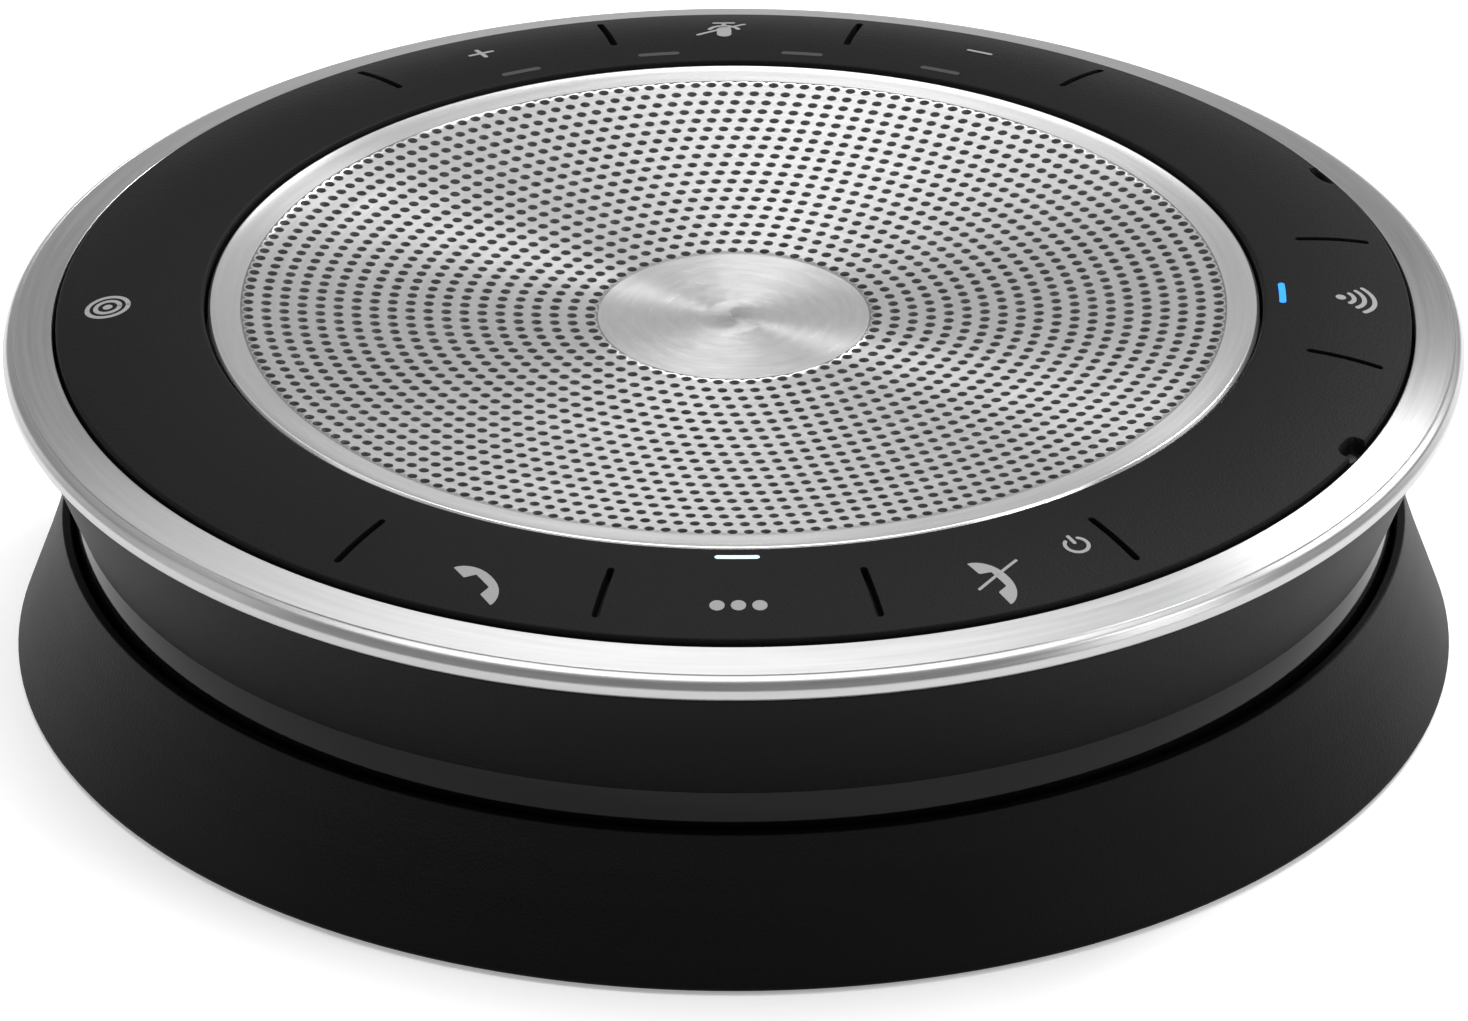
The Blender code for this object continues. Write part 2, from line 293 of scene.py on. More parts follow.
def slab_parts(top, under, keep, top_normals, wraps):
    """The closed plate between two grids of points, over the cells to keep.

    Top cells face out, under cells face in, and each side between a kept and a dropped cell gets a wall.
    """
    rows, columns = top.shape[:2]
    across = columns if wraps else columns - 1
    index = np.arange(rows * columns).reshape(rows, columns)
    next_column = np.roll(index, -1, 1)[:, :across]
    index = index[:, :across]
    keep = keep[:, :across]
    upper = np.stack([index[:-1][keep], next_column[:-1][keep],
                      next_column[1:][keep], index[1:][keep]], -1)
    shift = rows * columns
    padded = np.zeros((rows + 1, across + 2), bool)
    padded[1:-1, 1:-1] = keep
    if wraps:
        padded[1:-1, 0], padded[1:-1, -1] = keep[:, -1], keep[:, 0]
    walls = []
    for side, (down, right) in enumerate([(-1, 0), (0, 1), (1, 0), (0, -1)]):
        neighbour = padded[1 + down:rows + down, 1 + right:across + 1 + right]
        edge = upper[~neighbour[keep]]
        start, end = edge[:, side], edge[:, (side + 1) % 4]
        walls.append(np.stack([start, start + shift, end + shift, end], -1))
    points = np.concatenate([top.reshape(-1, 3), under.reshape(-1, 3)])
    quads = np.concatenate([upper, upper[:, ::-1] + shift, *walls])
    flat = face_normals(points, quads)
    normals = np.repeat(flat[:, None], 4, 1)
    normals[:len(upper)] = top_normals.reshape(-1, 3)[upper]
    if (normals[:len(upper)].mean(axis=1) * flat[:len(upper)]).sum() < 0:
        quads, normals = quads[:, ::-1], normals[:, ::-1].copy()
        normals[len(upper):] *= -1.0
    used, packed = np.unique(quads, return_inverse=True)
    return points[used], packed.reshape(-1, 4), normals.reshape(-1, 3)


def joined(name, parts, finish):
    """One piece from several (points, faces, corner normals)."""
    shifts = np.cumsum([0] + [len(points) for points, _, _ in parts[:-1]])
    return piece(name, np.concatenate([points for points, _, _ in parts]),
                 [faces + shift for (_, faces, _), shift in zip(parts, shifts)], finish,
                 np.concatenate([normals for _, _, normals in parts]))


def slab(name, top, under, keep, top_normals, finish):
    """A piece from one closed plate that goes all the way round."""
    return joined(name, [slab_parts(top, under, keep, top_normals, True)], finish)


def ride_for(made, slot_name, body, *nodes):
    """Rides a piece on a body and lets it stand for CAD nodes, which it hides. slot_name is not used."""
    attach(made, body)
    if nodes:
        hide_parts(*nodes)
    return made


# ---------------------------------------------------------------- node groups and finishes

def node_group(name, inputs, outputs):
    """A shader node group with named float or vector sockets, and its input and output nodes."""
    group = bpy.data.node_groups.new(name, "ShaderNodeTree")
    for label, kind, default in inputs:
        socket = group.interface.new_socket(label, in_out="INPUT", socket_type=kind)
        if default is not None:
            socket.default_value = default
    for label, kind in outputs:
        group.interface.new_socket(label, in_out="OUTPUT", socket_type=kind)
    return group, group.nodes.new("NodeGroupInput"), group.nodes.new("NodeGroupOutput")


def math_node(tree, operation, first, second=None, third=None):
    """A Math node; each value is a number or a socket."""
    node = tree.nodes.new("ShaderNodeMath")
    node.operation = operation
    for socket, value in zip(node.inputs, (first, second, third)):
        if value is None:
            continue
        if isinstance(value, (int, float)):
            socket.default_value = value
        else:
            tree.links.new(value, socket)
    return node.outputs[0]


def vector_node(tree, operation, first, second=None):
    """A Vector Math node; each value is a triple or a socket."""
    node = tree.nodes.new("ShaderNodeVectorMath")
    node.operation = operation
    for socket, value in zip(node.inputs, (first, second)):
        if value is None:
            continue
        if isinstance(value, tuple):
            socket.default_value = value
        else:
            tree.links.new(value, socket)
    return node.outputs["Value" if operation == "LENGTH" else "Vector"]


def noise_node(tree, vector, scale, detail=2.0, roughness=0.5):
    """The value of a Noise texture; scale is a number or a socket, in cycles per metre."""
    node = tree.nodes.new("ShaderNodeTexNoise")
    tree.links.new(vector, node.inputs["Vector"])
    if isinstance(scale, (int, float)):
        node.inputs["Scale"].default_value = scale
    else:
        tree.links.new(scale, node.inputs["Scale"])
    node.inputs["Detail"].default_value = detail
    node.inputs["Roughness"].default_value = roughness
    return node.outputs["Fac"]


def ranged(tree, value, low, high):
    """A 0 to 1 value carried to low to high."""
    node = tree.nodes.new("ShaderNodeMapRange")
    tree.links.new(value, node.inputs["Value"])
    node.inputs["To Min"].default_value = low
    node.inputs["To Max"].default_value = high
    return node.outputs["Result"]


def grain_group():
    """Moulded or sprayed grain: fine cells over a finer noise, and a broad patchiness for the shade."""
    name = "Moulded grain"
    if name in bpy.data.node_groups:
        return bpy.data.node_groups[name]
    tree, given, made = node_group(
        name,
        [("Vector", "NodeSocketVector", None), ("Cells per metre", "NodeSocketFloat", 6000.0)],
        [("Height", "NodeSocketFloat"), ("Shade", "NodeSocketFloat"), ("Patches", "NodeSocketFloat")])
    cells = tree.nodes.new("ShaderNodeTexVoronoi")
    tree.links.new(given.outputs["Vector"], cells.inputs["Vector"])
    tree.links.new(given.outputs["Cells per metre"], cells.inputs["Scale"])
    fine = noise_node(tree, given.outputs["Vector"], given.outputs["Cells per metre"], 3.0, 0.6)
    height = math_node(tree, "MULTIPLY_ADD", cells.outputs["Distance"], 0.6, fine)
    tree.links.new(height, made.inputs["Height"])
    speckle_scale = math_node(tree, "MULTIPLY", given.outputs["Cells per metre"], 0.8)
    tree.links.new(noise_node(tree, given.outputs["Vector"], speckle_scale, 4.0, 0.7),
                   made.inputs["Shade"])
    tree.links.new(noise_node(tree, given.outputs["Vector"], 45.0, 3.0), made.inputs["Patches"])
    return tree


def brushing_group():
    """Turned brushing: noise stretched along the circles round the axis.

    The noise reads (radius less height, the unit direction from the axis), so that it changes quickly
    across the section and slowly round it.
    """
    name = "Turned brushing"
    if name in bpy.data.node_groups:
        return bpy.data.node_groups[name]
    tree, given, made = node_group(
        name,
        [("Vector", "NodeSocketVector", None), ("Lines per metre", "NodeSocketFloat", 9000.0),
         ("Wander", "NodeSocketFloat", 5.0)],
        [("Height", "NodeSocketFloat"), ("Shade", "NodeSocketFloat")])
    flat = vector_node(tree, "MULTIPLY", given.outputs["Vector"], (1.0, 1.0, 0.0))
    radius = vector_node(tree, "LENGTH", flat)
    direction = vector_node(tree, "NORMALIZE", flat)
    split = tree.nodes.new("ShaderNodeSeparateXYZ")
    tree.links.new(given.outputs["Vector"], split.inputs[0])
    along = math_node(tree, "SUBTRACT", radius, split.outputs["Z"])
    turned_split = tree.nodes.new("ShaderNodeSeparateXYZ")
    tree.links.new(direction, turned_split.inputs[0])

    def streaks(line_share, wander_share, detail):
        combined = tree.nodes.new("ShaderNodeCombineXYZ")
        lines = math_node(tree, "MULTIPLY", given.outputs["Lines per metre"], line_share)
        tree.links.new(math_node(tree, "MULTIPLY", along, lines), combined.inputs[0])
        wander = math_node(tree, "MULTIPLY", given.outputs["Wander"], wander_share)
        for axis in (0, 1):
            tree.links.new(math_node(tree, "MULTIPLY", turned_split.outputs[axis], wander),
                           combined.inputs[axis + 1])
        return noise_node(tree, combined.outputs[0], 1.0, detail, 0.65)

    tree.links.new(streaks(1.0, 1.0, 3.0), made.inputs["Height"])
    tree.links.new(streaks(0.22, 0.6, 4.0), made.inputs["Shade"])
    return tree


def weave_group():
    """Plain weave: the higher of two crossed sets of rounded threads."""
    name = "Plain weave"
    if name in bpy.data.node_groups:
        return bpy.data.node_groups[name]
    tree, given, made = node_group(
        name, [("Vector", "NodeSocketVector", None), ("Threads per metre", "NodeSocketFloat", 4000.0)],
        [("Height", "NodeSocketFloat"), ("Shade", "NodeSocketFloat")])
    split = tree.nodes.new("ShaderNodeSeparateXYZ")
    tree.links.new(given.outputs["Vector"], split.inputs[0])
    turns = math_node(tree, "MULTIPLY", given.outputs["Threads per metre"], math.pi)
    waves = [math_node(tree, "SINE", math_node(tree, "MULTIPLY", split.outputs[axis], turns))
             for axis in (0, 1)]
    product = math_node(tree, "MULTIPLY", *waves)
    tree.links.new(ranged(tree, product, 0.0, 1.0), made.inputs["Height"])
    tree.links.new(noise_node(tree, given.outputs["Vector"], given.outputs["Threads per metre"]),
                   made.inputs["Shade"])
    return tree


class Finish:
    """A node material in the making: its tree, shader and object coordinates."""

    def __init__(self, name, **even):
        self.material = bpy.data.materials.new(name)
        self.material.use_nodes = True
        self.tree = self.material.node_tree
        self.shader = self.tree.nodes["Principled BSDF"]
        self.place = self.tree.nodes.new("ShaderNodeTexCoord").outputs["Object"]
        for label, value in even.items():
            self.shader.inputs[label.replace("_", " ")].default_value = value

    def use(self, group, **values):
        """Places a node group on the object's coordinates."""
        node = self.tree.nodes.new("ShaderNodeGroup")
        node.node_tree = group
        self.tree.links.new(self.place, node.inputs["Vector"])
        for label, value in values.items():
            node.inputs[label.replace("_", " ")].default_value = value
        return node.outputs

    def colour(self, value, low, high):
        """Base colour from low to high as the value goes from 0.25 to 0.75."""
        ramp = self.tree.nodes.new("ShaderNodeValToRGB")
        ramp.color_ramp.elements[0].position = 0.25
        ramp.color_ramp.elements[1].position = 0.75
        ramp.color_ramp.elements[0].color = (*low[:3], 1.0)
        ramp.color_ramp.elements[1].color = (*high[:3], 1.0)
        self.tree.links.new(value, ramp.inputs["Fac"])
        self.tree.links.new(ramp.outputs["Color"], self.shader.inputs["Base Color"])
        return self

    def roughness(self, value, low, high):
        self.tree.links.new(ranged(self.tree, value, low, high), self.shader.inputs["Roughness"])
        return self

    def bump(self, height, distance):
        node = self.tree.nodes.new("ShaderNodeBump")
        node.inputs["Strength"].default_value = 1.0
        node.inputs["Distance"].default_value = distance
        self.tree.links.new(height, node.inputs["Height"])
        self.tree.links.new(node.outputs["Normal"], self.shader.inputs["Normal"])
        return self


def scaled(colour, share):
    """A colour made lighter or darker by a share."""
    return tuple(channel * share for channel in colour[:3])


def grained_finish(name, colour, cells, depth, rough, spread=0.18, **even):
    """Plastic or rubber with a fine grain: colour, roughness and bump all follow it."""
    made = bpy.data.materials.get(name)
    if made:
        return made
    finish = Finish(name, **even)
    grain = finish.use(grain_group(), Cells_per_metre=cells)
    finish.colour(grain["Shade"], scaled(colour, 1.0 - spread), scaled(colour, 1.0 + spread))
    finish.roughness(grain["Patches"], *rough).bump(grain["Height"], depth)
    return finish.material


def brushed_finish(name, colour, lines, depth, rough, spread=0.05, **even):
    """Metal brushed in circles round the axis."""
    made = bpy.data.materials.get(name)
    if made:
        return made
    finish = Finish(name, Metallic=1.0, **even)
    brushing = finish.use(brushing_group(), Lines_per_metre=lines)
    finish.colour(brushing["Shade"], scaled(colour, 1.0 - spread), scaled(colour, 1.0 + spread))
    finish.roughness(brushing["Shade"], *rough).bump(brushing["Height"], depth)
    tangent = finish.tree.nodes.new("ShaderNodeTangent")
    tangent.direction_type = "RADIAL"
    tangent.axis = "Z"
    finish.tree.links.new(tangent.outputs["Tangent"], finish.shader.inputs["Tangent"])
    return finish.material


def bezel_finish():
    return grained_finish("Soft-touch skin", colours().bezel, 4500.0, 0.03 * MM, (0.5, 0.62), 0.4,
                          Specular_IOR_Level=0.1)


def shell_finish():
    return grained_finish("Matte shell", colours().shell, 4500.0, 0.025 * MM, (0.42, 0.52), 0.4,
                          Specular_IOR_Level=0.09)


def band_finish():
    return grained_finish("Gloss band", colours().band, 900.0, 0.0015 * MM, (0.06, 0.1), 0.05,
                          Specular_IOR_Level=0.15)


def rim_finish():
    return brushed_finish("Brushed rim", scaled(colours().metal, 0.52), 8000.0, 0.006 * MM,
                          (0.28, 0.42), 0.1, Anisotropic=0.6, Anisotropic_Rotation=0.25)


def grille_finish():
    return brushed_finish("Spun grille", colours().metal, 7000.0, 0.0012 * MM, (0.22, 0.3), 0.06,
                          Anisotropic=0.85, Anisotropic_Rotation=0.25)


def symbol_finish():
    return grained_finish("Printed symbols", colours().print_grey, 12000.0, 0.004 * MM, (0.5, 0.6), 0.08)


def rubber_finish():
    return grained_finish("Foot rubber", (0.02, 0.02, 0.02), 3500.0, 0.02 * MM, (0.75, 0.9))


def spider_finish():
    return grained_finish("Spider cloth", (0.32, 0.2, 0.08), 2200.0, 0.05 * MM, (0.8, 0.95), 0.3)


def cloth_finish():
    """Acoustic cloth behind the grille: a fine plain weave with fibre speckle."""
    made = bpy.data.materials.get("Acoustic cloth")
    if made:
        return made
    finish = Finish("Acoustic cloth", Sheen_Weight=0.3)
    weave = finish.use(weave_group(), Threads_per_metre=3200.0)
    finish.colour(weave["Shade"], (0.004, 0.004, 0.004), (0.02, 0.02, 0.02))
    finish.roughness(weave["Shade"], 0.8, 0.95).bump(weave["Height"], 0.06 * MM)
    return finish.material


def light_finish(name, colour, strength):
    """Frosted light pipe: an even glow, a little uneven from a fine grain."""
    made = bpy.data.materials.get(name)
    if made:
        return made
    finish = Finish(name, Emission_Strength=strength)
    grain = finish.use(grain_group(), Cells_per_metre=2500.0)
    finish.colour(grain["Shade"], scaled(colour, 0.85), scaled(colour, 1.0))
    ramp = finish.shader.inputs["Base Color"].links[0].from_socket
    finish.tree.links.new(ramp, finish.shader.inputs["Emission Color"])
    finish.roughness(grain["Patches"], 0.3, 0.4).bump(grain["Height"], 0.004 * MM)
    return finish.material


# ---------------------------------------------------------------- control ring

def bezel_height(radius):
    """Height of the soft top: the crown's, plus tilt times the distance from it, less curve times the
    distance's square."""
    away = radius / MM - CROWN_RADIUS
    return (CROWN_HEIGHT + CROWN_TILT * away - CROWN_CURVE * away ** 2) * MM


def local_place(x, y, azimuth):
    """Distance along and across the radial line at an azimuth."""
    angle = math.radians(azimuth)
    return (x * math.cos(angle) + y * math.sin(angle),
            -x * math.sin(angle) + y * math.cos(angle))


def slit_drop(x, y):
    """Depth of the slits: full within a capsule round each slit's line, and 0 past its edge."""
    s = sizes()
    edge = 0.06 * MM
    drop = np.zeros_like(x)
    for azimuth in SLITS:
        along, across = local_place(x, y, azimuth)
        nearest = np.clip(along, s.key_inner + s.slit_half_width, s.key_outer - s.slit_half_width)
        away = np.hypot(along - nearest, across)
        inside = 1.0 - smoothstep((away - s.slit_half_width + edge) / (2.0 * edge))
        drop = np.maximum(drop, s.slit_depth * np.where(along > 0.0, inside, 0.0))
    return drop


def notch_share(x, y):
    """1 inside the microphone notches, which are rounded squares cut in from the outer edge, else 0."""
    half_width, reach = 1.5 * MM, 1.2 * MM
    share = np.zeros_like(x)
    for azimuth in NOTCHES:
        along, across = local_place(x, y, azimuth)
        shape = (np.abs(across) / half_width) ** 4 + (np.abs(BEZEL_OUTER - along) / reach) ** 4
        share = np.maximum(share, np.where(along > 0.0, 1.0 - smoothstep((shape - 0.8) / 0.35), 0.0))
    return share


def bezel_rows():
    """Radii and heights of the ring's section, top side and under side, from foot to foot."""
    s = sizes()
    inner, rounding, skin, wall = BEZEL_INNER, 0.35 * MM, 1.45 * MM, 0.8 * MM
    fine = 0.05 * MM
    spans = [np.arange(inner + rounding, s.key_inner - 7 * fine, 0.4 * MM),
             s.key_inner + fine * np.arange(-6, 7),
             np.linspace(s.key_inner + 0.6 * MM, s.key_outer - 0.6 * MM, 11),
             s.key_outer + fine * np.arange(-6, 7),
             np.arange(s.key_outer + 0.4 * MM, BEZEL_OUTER - rounding, 0.1 * MM),
             [BEZEL_OUTER - rounding]]
    crown = np.concatenate(spans)
    quarter = np.linspace(0.0, np.pi / 2, 6)
    inner_top, outer_top = bezel_height(inner + rounding), bezel_height(BEZEL_OUTER - rounding)
    inner_arc = np.stack([inner + rounding * (1 - np.sin(quarter)),
                          inner_top - rounding * (1 - np.cos(quarter))], -1)[::-1][:-1]
    outer_arc = np.stack([BEZEL_OUTER - rounding * (1 - np.sin(quarter)),
                          outer_top - rounding * (1 - np.cos(quarter))], -1)[1:]
    crown_rows = np.stack([crown, bezel_height(crown)], -1)
    foot_in = np.array([[inner, BEZEL_FOOT]])
    wall_heights = np.linspace(outer_arc[-1, 1], BEZEL_FOOT, WALL_ROWS + 1)[1:]
    wall_out = np.stack([np.full(WALL_ROWS, BEZEL_OUTER), wall_heights], -1)
    top = np.concatenate([foot_in, inner_arc, crown_rows, outer_arc, wall_out])
    under_radius = np.clip(top[:, 0], inner + wall, BEZEL_OUTER - wall)
    under = np.stack([under_radius, bezel_height(under_radius) - skin], -1)
    walls = [0] + list(range(len(top) - WALL_ROWS, len(top)))
    under[walls, 1] = np.minimum(under[walls, 1], top[walls, 1])
    return top, under


def bezel_columns():
    """Azimuths in radians: an even spread, with close ones at the slits and the notches."""
    middle = 50.75 * MM
    slit_steps = np.array([0.0, 0.07, 0.13, 0.17, 0.19, 0.22, 0.25, 0.28, 0.31, 0.33, 0.4, 0.6]) * MM
    slit_steps = np.concatenate([-slit_steps[:0:-1], slit_steps]) / middle
    notch_steps = np.arange(-2.1, 2.15, 0.12) * MM / BEZEL_OUTER
    close = [np.radians(azimuth % 360.0) + slit_steps for azimuth in SLITS]
    close += [np.radians(azimuth % 360.0) + notch_steps for azimuth in NOTCHES]
    close = np.concatenate(close) % (2 * np.pi)
    even = np.radians(np.arange(0.0, 360.0, 1.5))
    gap = np.abs((even[:, None] - close[None] + np.pi) % (2 * np.pi) - np.pi).min(axis=1)
    return np.sort(np.concatenate([even[gap > math.radians(0.3)], close]))


def bezel_surface():
    """The whole ring's top and under grids with the top's normals, and each row's radius."""
    top, under = bezel_rows()
    azimuth = bezel_columns()
    turn = np.stack([np.cos(azimuth), np.sin(azimuth)], -1)

    def lifted(section):
        grid = np.empty((len(section), len(azimuth), 3))
        grid[..., :2] = section[:, 0, None, None] * turn[None]
        grid[..., 2] = section[:, 1, None]
        return grid

    upper, lower = lifted(top), lifted(under)
    x, y = upper[..., 0], upper[..., 1]
    upper[..., 2] -= slit_drop(x, y)
    notch_floor, least_skin = BEZEL_FOOT + 0.35 * MM, 0.2 * MM
    upper[..., 2] -= notch_share(x, y) * np.maximum(upper[..., 2] - notch_floor, 0.0)
    lower[..., 2] = np.minimum(lower[..., 2], upper[..., 2] - least_skin)
    lower[0, :, 2], lower[-1, :, 2] = BEZEL_FOOT, BEZEL_FOOT
    upper[-1, :, 2] = BEZEL_FOOT
    around = (np.roll(upper, -1, 1) - np.roll(upper, 1, 1))
    along = np.gradient(upper, axis=0)
    normals = np.cross(along, around)
    normals /= np.maximum(np.linalg.norm(normals, axis=-1, keepdims=True), 1e-20)
    return upper, lower, normals, top[:, 0], azimuth


def key_cells(radii, azimuth, key_azimuth, start, end):
    """Which cells lie between two radii and within a key's half angle."""
    middle_radius = (radii[:-1] + radii[1:]) / 2
    next_azimuth = np.append(azimuth[1:], azimuth[0] + 2 * np.pi)
    middle_azimuth = np.degrees((azimuth + next_azimuth) / 2)
    away = np.abs((middle_azimuth - key_azimuth + 180.0) % 360.0 - 180.0)
    rows = (middle_radius > start) & (middle_radius < end)
    return rows[:, None] & (away < KEY_HALF_ANGLE)[None]


def bend(made):
    """Bakes a piece's placement into its mesh."""
    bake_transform(made)


def build_bezel():
    """The fixed skin, and for each key an inner and an outer skin."""
    s = sizes()
    upper, lower, normals, radii, azimuth = bezel_surface()
    on_crown = np.zeros(len(radii) - 1, bool)
    on_crown[1:-WALL_ROWS] = True
    fixed = np.ones((len(radii) - 1, len(azimuth)), bool)
    middle = radii[np.abs(radii - (s.key_inner + s.key_outer) / 2).argmin()]
    for key, key_azimuth in KEYS.items():
        body = f"key_{key}"
        halves = {"inner": (s.key_inner, middle), "outer": (middle, s.key_outer)}
        for side, (start, end) in halves.items():
            cells = key_cells(radii, azimuth, key_azimuth, start, end) & on_crown[:, None]
            fixed &= ~cells
            made = slab(f"{body}_{side}_skin", upper, lower, cells, normals, bezel_finish())
            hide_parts(body)
            bend(made)
    ring = slab("control_ring", upper, lower, fixed, normals, bezel_finish())
    ride_for(ring, "soft_black", "housing", "control_bezel")


# ---------------------------------------------------------------- symbols and lights on the ring

def stroke(line, half):
    """Grid of flat points (x, y), in millimetres: the line's points plus v times its half width along its
    left normal, with v from -1 to 1. Each end goes on for sin t and narrows to cos t half widths."""
    line = np.array(line, float)
    turn = np.linspace(0.0, 0.49 * np.pi, 7)[1:]
    first, last = line[0] - line[1], line[-1] - line[-2]
    reach = np.sin(turn)[:, None] * half
    before = line[0] + first / np.hypot(*first) * reach
    after = line[-1] + last / np.hypot(*last) * reach
    half = half * np.concatenate([np.cos(turn)[::-1], np.ones(len(line)), np.cos(turn)])
    line = np.concatenate([before[::-1], line, after])
    tangent = np.gradient(line, axis=0)
    tangent /= np.hypot(*tangent.T)[:, None]
    normal = np.stack([-tangent[:, 1], tangent[:, 0]], -1)
    across = np.linspace(-1.0, 1.0, 5)
    return line[:, None] + (across[None] * half[:, None])[..., None] * normal[:, None]


def straight(start, end, half, steps=9):
    return stroke(np.linspace(start, end, steps), half)


def arc(centre, radius, start, end, half, steps=25):
    """A stroke along a circle, between two angles in degrees."""
    angle = np.radians(np.linspace(start, end, steps))
    line = np.array(centre) + np.stack([radius * np.cos(angle), radius * np.sin(angle)], -1)
    return stroke(line, half)


def dot(centre, radius):
    x, y = centre
    return stroke([(x - 0.01, y), (x + 0.01, y)], radius)


def handset():
    """A telephone handset on a chord from -1 to 1: flat points between a bulging back and, below it, the
    chord at both ends or the edge of the hollow in between."""
    half_length, back_height, hollow_height, shift = 2.85, 1.8, 0.98, 0.8
    share = np.linspace(-0.99, 0.99, 61)
    back = back_height * (1.0 - np.abs(share) ** 2.3) ** 0.6
    hollow = hollow_height * (1.0 - smoothstep((np.abs(share) - 0.33) / 0.13))
    across = np.linspace(0.0, 1.0, 5)
    height = hollow[:, None] + (back - hollow)[:, None] * across[None]
    return np.stack([height - shift, np.broadcast_to(half_length * share[:, None], height.shape)], -1)


def raised_on_ring(strokes, radius, azimuth, turn, proud, sunk):
    """Closed plates over the ring's skin, from flat strokes turned about a point on the ring.

    Sizes are in millimetres and angles in degrees; proud and sunk are how far a plate stands above and
    reaches below the skin.
    """
    spin = math.radians(turn)
    centre = np.array([math.cos(math.radians(azimuth)), math.sin(math.radians(azimuth))]) * radius
    parts = []
    for grid in strokes:
        x = centre[0] + grid[..., 0] * math.cos(spin) - grid[..., 1] * math.sin(spin)
        y = centre[1] + grid[..., 0] * math.sin(spin) + grid[..., 1] * math.cos(spin)
        away = np.hypot(x, y)
        skin = bezel_height(away * MM)
        top = np.stack([x * MM, y * MM, skin + proud * MM], -1)
        under = np.stack([x * MM, y * MM, skin - sunk * MM], -1)
        slope = CROWN_TILT - 2.0 * CROWN_CURVE * (away - CROWN_RADIUS)
        normals = np.stack([-slope * x / away, -slope * y / away, np.ones_like(x)], -1)
        normals /= np.linalg.norm(normals, axis=-1, keepdims=True)
        keep = np.ones((grid.shape[0] - 1, grid.shape[1] - 1), bool)
        parts.append(slab_parts(top, under, keep, normals, False))
    return parts


def symbols():
    """Name: key or None, side of its bend, radius, azimuth, turn and strokes of each printed symbol."""
    slim = 0.19
    dots = [dot((0.0, across), 0.6) for across in (-1.68, 0.0, 1.68)]
    power = [arc((0.0, 0.0), 0.95, 38.0, 322.0, 0.16, 37), straight((0.3, 0.0), (1.25, 0.0), 0.16)]
    microphone = [straight((0.1, 0.0), (1.3, 0.0), 0.62), arc((0.35, 0.0), 1.25, 105.0, 255.0, slim),
                  straight((-0.95, 0.0), (-1.75, 0.0), slim), straight((-1.8, -0.8), (-1.8, 0.8), slim),
                  straight((1.45, -2.25), (-1.35, 1.75), 0.16)]
    waves = [dot((-1.2, 0.0), 0.42)] + [arc((-1.2, 0.0), radius, -48.0, 48.0, 0.2)
                                         for radius in (1.1, 1.95, 2.8)]
    touch = [arc((0.0, 0.0), 1.7, -180.0, 178.0, 0.2, 49), arc((0.0, 0.0), 1.0, -180.0, 178.0, 0.2, 37),
             dot((0.0, 0.0), 0.4)]
    slash = [straight((-0.35, -2.45), (-0.35, 2.45), 0.13)]
    return {
        "symbol_call": ("call", "outer", 51.8, 247.1, 31.0, [handset()]),
        "symbol_menu": ("menu", "outer", 51.7, 270.07, 270.07, dots),
        "symbol_end": ("end", "outer", 51.8, 293.2, 36.0, [handset()]),
        "symbol_end_slash": ("end", "outer", 51.55, 293.75, -37.0, slash),
        "symbol_power": ("end", "inner", 50.2, 302.3, 122.3, power),
        "symbol_volume_up": ("volume_up", "inner", 50.3, 115.0, 115.0,
                             [straight((-1.0, 0.0), (1.0, 0.0), slim),
                              straight((0.0, -1.0), (0.0, 1.0), slim)]),
        "symbol_volume_down": ("volume_down", "inner", 50.3, 65.0, 65.0,
                               [straight((0.0, -1.0), (0.0, 1.0), slim)]),
        "symbol_mute": ("mute", "inner", 50.15, 90.6, 270.6, microphone),
        "symbol_wireless": ("wireless", "inner", 51.0, 359.8, 0.0, waves),
        "symbol_touch": (None, None, 51.3, 181.0, 181.0, touch),
    }


def build_symbols():
    for name, (key, side, radius, azimuth, turn, strokes) in symbols().items():
        parts = raised_on_ring(strokes, radius, azimuth, turn, proud=0.025, sunk=0.06)
        made = joined(name, parts, symbol_finish())
        if key:
            bend(made)
        else:
            ride_for(made, "soft_black", "housing")


def build_lights():
    """Light bars: short rounded strokes round the axis, a little proud of the skin."""
    c = colours()
    lit = {"front": (c.ready_light, 0.6), "right": (c.radio_light, 0.75)}
    radius = LIGHT_RADIUS / MM
    half_length, half_width = 1.5, 0.28
    half_angle = math.degrees(half_length / radius)
    bar = arc((-radius, 0.0), radius, -half_angle, half_angle, half_width, 13)
    for name, azimuth in LIGHTS.items():
        colour, strength = lit.get(name, (UNLIT, 0.0))
        parts = raised_on_ring([bar], radius, azimuth, azimuth, proud=0.015, sunk=0.3)
        made = joined(f"light_bar_{name}", parts,
                      light_finish(f"Light pipe {name.split('_')[0]}", colour, strength))
        ride_for(made, "light_pipe", "housing", f"light_{name}")


# ---------------------------------------------------------------- grille

def dish_height(radius):
    """Height of the grille's shallow dish, from the square and fourth power of its share of the radius."""
    middle, rise, easing, reach = 29.45, 1.634, 0.1, 39.8
    share = (radius / (reach * MM)) ** 2
    return (middle + rise * share - easing * share ** 2) * MM


def dish_normal(points):
    """Unit normals of the dish at points on it."""
    radius = np.hypot(points[:, 0], points[:, 1])
    step = 0.01 * MM
    slope = (dish_height(radius + step) - dish_height(radius - step)) / (2 * step)
    away = np.maximum(radius, 1e-9)
    across = -slope[:, None] * points[:, :2] / away[:, None]
    normals = np.concatenate([across, np.ones((len(points), 1))], -1)
    return normals / np.linalg.norm(normals, axis=1, keepdims=True)


